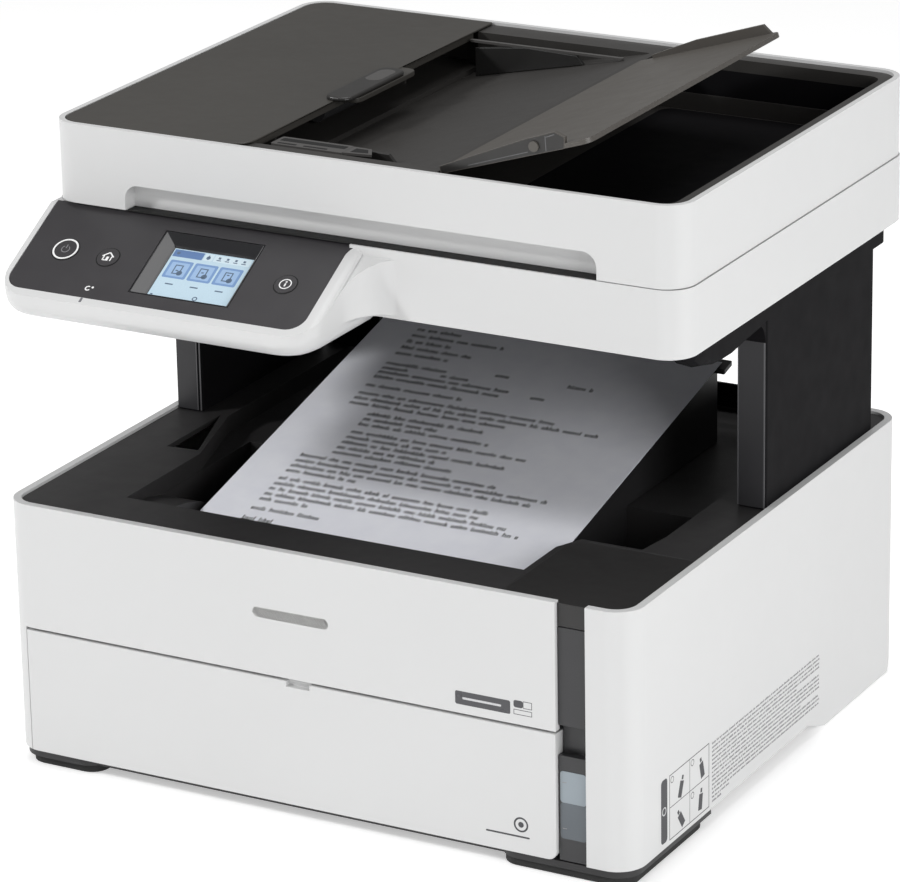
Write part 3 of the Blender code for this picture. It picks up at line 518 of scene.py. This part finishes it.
def front_marks():
    """Plain shapes where the front carries its marks."""
    marks("front_emblem", EMBLEM, "base", FRONT, [bar(-33, 112.6, 12.5, 118.4, 2.9, 8)], 0.0, -0.3)
    marks("front_badge", BADGE, "base", FRONT, [bar(86.8, 85.8, 118.7, 93.2, 1.0)], 0.02)
    lines = [bar(91, 88.9, 113.5, 90.1, 0.6)]
    marks("front_badge_line", PRINT_LIGHT, "base", FRONT, lines, 0.05)
    small = outlined(120.6, 86.3, 131.2, 89.2, 0.35) + [bar(120.6, 90.2, 126.0, 94.2, 1.2)]
    small += outlined(126.0, 90.2, 131.2, 94.2, 0.35)
    marks("front_small_badge", BADGE, "base", FRONT, small, 0.02)
    mark = ring(124, 25.2, 4.2, 3.2) + [disc(124, 25.2, 1.6)]
    mark += [bar(103.5, 17.9, 129, 18.9, 0.5)]
    marks("cassette_mark", PRINT_DARK, "cassette", FRONT, mark, 0.02)


def side_marks():
    """The block of small print and the label low on the right side."""
    rng = random.Random(7)
    lines = []
    for number in range(15):
        level = 45.6 - 2.35 * number
        start, stop = -77.0, 58.0
        if number == 13:
            stop = -55.0
        elif number == 14:
            stop = -66.0
        elif number % 5 == 4:
            stop -= rng.uniform(8, 30)
        lines += word_marks(rng, start, level, stop - start, 1.35)
    marks("side_printing", PRINT_SMALL, "base", SIDE, lines, 0.02)
    marks("side_label_bar", PRINT_DARK, "base", SIDE, [bar(-137.2, 12.5, -130.0, 48.2, 2.2, 6)], 0.02)
    marks("side_label_dot", PRINT_LIGHT, "base", SIDE, ring(-133.6, 30.3, 2.4, 1.7), 0.05)
    grid = outlined(-127.5, 11.5, -80.5, 48.0, 0.5)
    grid += [bar(-103.8, 12.0, -103.4, 47.6), bar(-127.0, 29.4, -81.0, 29.8)]
    for u, v in ((-124.2, 44.6), (-100.4, 44.6), (-100.4, 26.2)):
        grid += ring(u, v, 1.9, 1.5, steps=24)
    bottles = ((-113.5, 37.0, 0.35), (-89.5, 38.0, -0.25), (-90.5, 20.5, 0.15), (-114.5, 19.5, -0.6))
    for u, v, turn in bottles:
        along = Vector((math.sin(turn), math.cos(turn)))
        middle = Vector((u, v))
        grid.append(stroke(middle - along * 6.4, middle + along * 2.6, 4.4))
        grid.append(stroke(middle + along * 3.2, middle + along * 5.6, 2.0))
    marks("side_label", PRINT_DARK, "base", SIDE, grid, 0.02)


# ---------------------------------------------------------------- control panel

HIGH = -1.9  # the display's surface, below the panel's face
DISPLAY = (-101.2, -46.4, -53.4, -11.6)


def screen():
    """The screen's frame, sloping in to a sunken display, with a plain menu shown on it."""
    outer = [(-111.0, -47.4), (-51.0, -47.4), (-51.0, -2.2), (-111.0, -2.2)]
    lip = [(-110.2, -47.0), (-51.6, -47.0), (-51.6, -3.0), (-110.2, -3.0)]
    u0, v0, u1, v1 = DISPLAY
    inner = [(u0, v0), (u1, v0), (u1, v1), (u0, v1)]
    rim = [(u0 - 1.1, v0 - 0.3), (u1 + 1.0, v0 - 0.3), (u1 + 1.0, v1 + 1.2), (u0 - 1.1, v1 + 1.2)]
    shape = bmesh.new()
    levels = ((outer, -5.4), (outer, 0.0), (lip, 0.35), (rim, -1.2), (inner, HIGH), (inner, -5.4))
    rings = [[shape.verts.new(PANEL.at(u, v, w)) for u, v in points] for points, w in levels]
    for lower, upper in zip(rings, rings[1:] + rings[:1]):
        for i in range(4):
            after = (i + 1) % 4
            shape.faces.new((lower[i], lower[after], upper[after], upper[i]))
    bezel = detail("screen_frame", FINISH["screen_glass"], "scanner", shape, "screen_glass")
    edge = bezel.modifiers.new("edge", "BEVEL")
    edge.width = 0.0004
    edge.segments = 3
    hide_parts("touch_screen")

    marks("display", SCREEN_BACK, "scanner", PANEL, [bar(*DISPLAY)], HIGH + 0.02, -5.0)
    title = [bar(u0 + 0.6, v1 - 5.6, u0 + 18.5, v1 - 0.6)]
    marks("display_bar", SCREEN_BAR, "scanner", PANEL, title, HIGH + 0.04, HIGH)
    tabs = [bar(u0 + 19.2, v1 - 5.4, u0 + 24.4, v1 - 0.7, 0.5)]
    tabs += [bar(u0 + 25.2, v1 - 5.4, u1 - 0.8, v1 - 0.7, 0.5)]
    marks("display_tabs", SCREEN_PALE, "scanner", PANEL, tabs, HIGH + 0.04, HIGH)
    signs = [disc(u0 + 3.4, v1 - 3.0, 1.0), disc(u0 + 21.8, v1 - 3.4, 1.2)]
    signs += [bar(u0 + 21.5, v1 - 3.2, u0 + 22.1, v1 - 1.6)]
    for step in range(4):
        start = u0 + 27.0 + 5.0 * step
        signs.append(bar(start, v1 - 4.4, start + 2.6, v1 - 3.8))
        signs.append(bar(start + 0.6, v1 - 3.2, start + 2.0, v1 - 1.8))
    tile = (u1 - u0 - 6.0) / 3
    frames, inside = [], []
    for number in range(3):
        left = u0 + 1.6 + number * (tile + 1.2)
        frames += [bar(left, v1 - 20.6, left + tile, v1 - 8.0, 1.0)]
        inside += [bar(left + 1.6, v1 - 19.2, left + tile - 1.6, v1 - 9.4, 0.7)]
        signs += outlined(left + 4.4, v1 - 17.6, left + tile - 4.6, v1 - 11.0, 0.7)
        signs += [bar(left + 6.0, v1 - 15.4 + number, left + tile - 6.4, v1 - 14.6 + number)]
        signs += [disc(left + tile - 5.0, v1 - 16.6, 1.7)]
        signs += [bar(left + 4.6, v1 - 25.2, left + tile - 4.6, v1 - 24.4)]
    signs += ring(u0 + 28.0, v0 + 2.6, 1.5, 0.9, steps=20)
    signs += [bar(u0 + 1.5, v0 + 1.2, u0 + 3.0, v0 + 2.0)]
    marks("display_tiles", SCREEN_TILE, "scanner", PANEL, frames, HIGH + 0.04, HIGH)
    marks("display_tile_faces", SCREEN_SOFT, "scanner", PANEL, inside, HIGH + 0.06, HIGH)
    marks("display_signs", SCREEN_SIGN, "scanner", PANEL, signs, HIGH + 0.08, HIGH)


POWER, HOME, HELP = (-161.4, -25.6), (-134.5, -26.6), (-26.6, -26.4)
KEY_TOP, KEY_SINK = 0.53, 0.2


def panel_signs():
    """The rings and signs on the three keys, the dark gaps round them, and the status sign and light."""
    marks("power_ring", PRINT_WHITE, "power_key", PANEL, ring(*POWER, 7.3, 6.3, steps=64), KEY_TOP, KEY_SINK)
    u, v = POWER
    sign = ring(u, v, 2.5, 2.05, -235, 55, 28) + [stroke((u, v + 0.6), (u, v + 3.2), 0.5)]
    marks("power_sign", PRINT_GREY, "power_key", PANEL, sign, KEY_TOP, KEY_SINK)

    u, v = HOME
    sign = [stroke((u - 3.4, v + 0.2), (u, v + 3.2), 0.8), stroke((u, v + 3.2), (u + 3.4, v + 0.2), 0.8)]
    sign += [stroke((u - 2.3, v + 0.6), (u - 2.3, v - 2.6), 0.7)]
    sign += [stroke((u + 2.3, v + 0.6), (u + 2.3, v - 2.6), 0.7)]
    sign += [stroke((u - 2.3, v - 2.4), (u - 0.7, v - 2.4), 0.7)]
    sign += [bar(u - 0.7, v - 2.7, u + 0.9, v + 0.2)]
    marks("home_sign", PRINT_WHITE, "home_key", PANEL, sign, KEY_TOP, KEY_SINK)

    u, v = HELP
    sign = ring(u, v, 3.5, 2.9, steps=40)
    sign += [bar(u - 0.4, v - 1.7, u + 0.4, v + 0.5), disc(u, v + 1.5, 0.55, 16)]
    marks("help_sign", PRINT_WHITE, "help_key", PANEL, sign, KEY_TOP, KEY_SINK)
    for key, place, radius in (("power", POWER, 7.7), ("home", HOME, 6.5), ("help", HELP, 6.5)):
        gap = ring(*place, radius + 0.35, radius - 0.3, steps=48)
        marks(f"{key}_well", GAP_AND_SHADE_BLACK, "scanner", PANEL, gap, 0.04, -2)

    sign = ring(-134.9, -49.4, 1.7, 1.0, 60, 330, 20) + [disc(-132.4, -48.4, 0.7, 14)]
    marks("status_sign", PRINT_WHITE, "scanner", PANEL, sign)
    pipe = [bar(-135.2, -59.8, -133.8, -56.7, 0.3)]
    marks("status_light", LIGHT_PIPE, "scanner", PANEL, pipe, 0.4, -1.5)


def scanner_top_shade():
    """Painted shade: a dark strip on the scanner's top edge, standing for the shadow seen through the lid's
    finger recess.
    """
    outlines = [bar(-139.6, -109.6, -6.0, -101.7), bar(-6.0, -109.4, 138.6, -101.7)]
    # Painted shade: near-black plates where the recess shows shadow above the housing's top edge.
    marks("scanner_top_shade", GAP_AND_SHADE_BLACK, "scanner", SCANNER_TOP, outlines, 0.35, -0.1)


# ---------------------------------------------------------------- panel corner, bay, ink window, feeder and rear


def panel_corner():
    """The panel's dark face carried round the rounded top corner of the housing's white rim."""
    arc = [math.radians(10 * step) for step in range(10)]
    outline = [(0.7 - 4.9 * math.cos(angle), -6.0 + 12.0 * math.sin(angle)) for angle in arc]
    outline += [(0.7, 7.8), (-4.2, 7.8)]
    marks("panel_corner", FINISH["panel_face"], "scanner", PANEL, [outline], 0.42, 0.1)


def bay_details():
    """The low wall behind the output tray, and painted light on the columns' front faces: a lighter face plate
    and painted highlights along its edges.
    """
    foot, end = 149.6, 165.6
    outline = [(-end, foot), (end, foot), (end, 163.0), (-112.0, 163.0), (-124.0, 174.0), (-end, 174.0)]
    marks("bay_rear_wall", BAY_BLACK, "base", BAY_REAR, [outline], 1.0, -1.0)
    # Painted light: the front faces lighter than the columns' own black, with painted highlights on their
    # rounded edges.
    face = [bar(167.4, 151.0, 181.6, 243.0)]
    marks("right_column_face_lit", COLUMN_FACE_LIT, "base", RIGHT_COLUMN, face, 0.06, -0.3)
    edges = [bar(166.6, 151.0, 167.3, 243.0), bar(181.5, 151.0, 182.3, 243.0)]
    marks("right_column_edge_highlights", COLUMN_EDGE_HIGHLIGHT, "base", RIGHT_COLUMN, edges, 0.1, -0.3)
    face = [bar(-182.0, 151.0, -169.6, 262.0)]
    marks("left_column_face_lit", COLUMN_FACE_LIT, "base", LEFT_COLUMN, face, 0.06, -0.3)
    edges = [bar(-169.4, 151.0, -168.7, 262.0), bar(-167.3, 151.0, -166.6, 262.0)]
    marks("left_column_edge_highlights", COLUMN_EDGE_HIGHLIGHT, "base", LEFT_COLUMN, edges, 0.1, -0.3)


def ink_cover_seam():
    """The fine gap behind the ink cover, with a painted highlight along its edge."""
    marks("ink_cover_seam", GAP_AND_SHADE_BLACK, "base", DECK_TOP, [bar(120.0, -85.9, 182.0, -85.4)], 0.06)
    # Painted highlight: a pale line beside the seam, where its edge catches the light.
    marks("ink_cover_seam_highlight", EDGE_HIGHLIGHT_GREY, "base", DECK_TOP, [bar(120.0, -85.3, 182.0, -85.0)], 0.06)


def ink_window():
    """The tank's window, pale above the ink's level and darker below it."""
    left, right, level = 145.8, 160.6, 41.5
    marks("ink_wall", INK_WALL, "base", STRIP, [bar(left, level, right, 59.0, 1.6)], 0.12, -0.1)
    marks("ink_fill", INK_FILL, "base", STRIP, [bar(left, 21.5, right, level + 0.05, 1.6)], 0.12, -0.1)
    lines = [bar(147.0, 52.6, 149.4, 53.0), bar(147.0, 27.0, 149.4, 27.4)]
    marks("ink_level_line", PRINT_GREY, "base", STRIP, lines, 0.18, 0)


def feeder_details():
    """The edge guides' flanges, the cover's lift tab with a painted highlight on its scoop, painted shade in the
    output hollow, and the support's arm, darker partly as painted shade.
    """
    flange = [bar(-62.0, -90.0, -19.0, -76.2, 1.5)]
    flange += [[(-19.2, -89.0), (-3.0, -86.5), (-8.0, -77.5), (-19.2, -77.0)]]
    marks("front_guide_flange", FEEDER_PALE_AND_HIGHLIGHT, "front_feeder_guide", GUIDE_TOP, flange, 0.4, -0.9)
    slots = [bar(-59.0, -88.4, -47.5, -86.4, 0.8), bar(-43.5, -88.4, -29.0, -86.4, 0.8)]
    slots += [bar(-60.0, -83.5, -21.0, -78.5, 1.0)]
    slots += [[(-16.0, -86.5), (-6.0, -85.0), (-9.0, -79.5), (-16.0, -79.5)]]
    marks("front_guide_slots", GAP_AND_SHADE_BLACK, "front_feeder_guide", GUIDE_TOP, slots, 0.44, 0)
    flange = [bar(-66.0, 136.6, 30.0, 138.9, 1.0)]
    marks("rear_guide_flange", FEEDER_PALE_AND_HIGHLIGHT, "rear_feeder_guide", GUIDE_TOP, flange, 0.4, -0.9)

    outline = [bar(-74.5, -14.0, -58.4, 52.0, 6.5)]
    tab = marks("feeder_tab", FEEDER_DARK, "feeder_door", FEEDER_TOP, outline, 2.2, -0.4)
    rounding = tab.modifiers.new("edge", "BEVEL")
    rounding.width = 0.0014
    rounding.segments = 4
    # Painted highlight: a paler patch on the tab's finger scoop.
    scoop = [bar(-71.5, 24.0, -61.5, 47.0, 4.8)]
    marks("feeder_tab_scoop_highlight", FEEDER_PALE_AND_HIGHLIGHT, "feeder_door", FEEDER_TOP, scoop, 2.22, 1.6)

    # Painted shade: near-black plates on the output hollow's floor and rear side.
    marks("hollow_floor_shade", BAY_BLACK, "lid", HOLLOW_FLOOR, [bar(46, -91, 175, 156, 7)], 0.1)
    marks("hollow_rear_side_shade", BAY_BLACK, "lid", HOLLOW_REAR, [bar(52, 323.0, 168, 338.0)], 0.1)

    outlines = []
    for number in range(4):
        u, v = 38.0 + number * 9.5, 26.0 - number * 3
        outlines += outlined(u, v, u + 6.0, v + 7.0, 0.5)
        outlines.append(stroke((u + 1.2, v + 9.0), (u + 5.0, v + 12.0), 0.5))
    marks("tray_signs", GAP_AND_SHADE_BLACK, "lid", TRAY, outlines, 0.03)

    # The arm's dark side plate: partly the arm's own darker plastic, partly painted shade.
    side = [(3.4, -2.4), (76.6, -2.4), (78.4, 2.8), (73.8, 6.4), (56.0, 5.8), (3.4, 1.0)]
    marks("support_arm", FEEDER_DARK, "paper_support", ARM, [side], -0.42, -0.7)
    head = ring(60.4, 1.6, 2.1, 1.1, steps=28) + [stroke((59.4, 1.6), (61.4, 1.6), 0.5)]
    marks("support_screw", FINISH["frame_steel"], "paper_support", ARM, head, 0.5, -0.6)
    # Painted highlights: pale lines along the arm's step and edge.
    lines = [stroke((66.4, -2.0), (68.2, 5.6), 0.4), stroke((68.4, 4.9), (73.6, 5.4), 0.4)]
    lines += [stroke((20.0, -1.2), (56.0, -0.6), 0.35)]
    marks("support_arm_edge_highlights", EDGE_HIGHLIGHT_GREY, "paper_support", ARM, lines, -0.38, -0.5)


def rear_details():
    """Vents, a plain rating label, and the grip of the rear cover."""
    vents = []
    for number in range(9):
        level = 30.0 + number * 4.2
        vents.append(bar(-150.0, level, -96.0, level + 1.8, 0.9))
        vents.append(bar(96.0, level, 150.0, level + 1.8, 0.9))
    marks("rear_vents", GAP_AND_SHADE_BLACK, "base", REAR, vents, 0.02, -0.6)
    marks("rear_label", EMBLEM, "base", REAR, [bar(-60, 24, 20, 64, 2)], 0.02)
    rng = random.Random(5)
    lines = []
    for number in range(8):
        lines += word_marks(rng, -55, 57 - number * 4, 66 - 6 * (number % 3), 1.7)
    marks("rear_label_lines", PRINT_DARK, "base", REAR, lines, 0.04)
    grip = [bar(-40, 88.6 + 1.8 * number, 40, 89.4 + 1.8 * number, 0.4) for number in range(5)]
    marks("rear_cover_grip", GAP_AND_SHADE_BLACK, "rear_door", REAR, grip, -0.17, -0.6)


# ---------------------------------------------------------------- finishes of the small pieces

INK_BLACK = ink("toner", (0.012, 0.012, 0.014), 0.5)
PRINT_DARK = ink("dark print", (0.055, 0.055, 0.06))
PRINT_SMALL = ink("small print", (0.10, 0.10, 0.11))
PRINT_GREY = ink("grey print", (0.22, 0.22, 0.23))
PRINT_LIGHT = ink("light print", (0.55, 0.55, 0.56))
PRINT_WHITE = ink("white print", (0.82, 0.82, 0.82))
BADGE = plastic("badge plate", (0.06, 0.06, 0.066), 0.3, 0.0003, 0.000004)
EMBLEM = plastic("satin silver", (0.5, 0.5, 0.49), 0.35, 0.0003, 0.000004)
# Black for real gaps, slots, vents and small signs, and also painted shade on the scanner's top edge.
GAP_AND_SHADE_BLACK = plastic("black gap and painted shade", (0.004, 0.004, 0.004), 0.8, 0.0005, 0.00001)
LIGHT_PIPE = clear("light pipe", (0.25, 0.25, 0.27), 0.1, 0.3)
INK_WALL = plastic("tank wall", (0.26, 0.3, 0.33), 0.12, 0.002, 0.00001, 0.08)
INK_FILL = plastic("ink behind the wall", (0.10, 0.115, 0.13), 0.1, 0.002, 0.00001, 0.1)
# Painted light: a lighter copy of the bay black for the lit column fronts, and a painted highlight grey for
# their edges.
COLUMN_FACE_LIT = plastic("column face painted light", (0.024, 0.0235, 0.026), 0.5, 0.0005, 0.00001, 0.05)
COLUMN_EDGE_HIGHLIGHT = plastic("column edge painted highlight", (0.085, 0.085, 0.09), 0.4, 0.0005, 0.00001, 0.05)
FEEDER_DARK = plastic("dark feeder tab", (0.022, 0.021, 0.020), 0.34, 0.0004, 0.00001)
# Painted highlight grey for the seam's edge and for the support arm's edge lines.
EDGE_HIGHLIGHT_GREY = plastic("painted edge highlight grey", (0.13, 0.13, 0.135), 0.4, 0.0004, 0.00001)
# Pale grey for the guides' flanges, and also a painted highlight on the tab's scoop.
FEEDER_PALE_AND_HIGHLIGHT = plastic("pale rail and painted highlight", (0.075, 0.072, 0.07), 0.35, 0.0004, 0.00001)
SCREEN_BACK = glow("screen background", (0.42, 0.54, 0.62), 0.26)
SCREEN_BAR = glow("screen bar", (0.10, 0.17, 0.33), 0.3)
SCREEN_PALE = glow("screen tabs", (0.50, 0.60, 0.66), 0.28)
SCREEN_TILE = glow("screen tiles", (0.16, 0.26, 0.45), 0.26)
SCREEN_SOFT = glow("screen tile faces", (0.27, 0.39, 0.57), 0.26)
SCREEN_SIGN = glow("screen signs", (0.10, 0.14, 0.2), 0.2)

# ---------------------------------------------------------------- build

camera()
stage()
finish_nodes()
sheet_marks()
front_marks()
side_marks()
screen()
panel_signs()
scanner_top_shade()
panel_corner()
bay_details()
ink_cover_seam()
ink_window()
feeder_details()
rear_details()
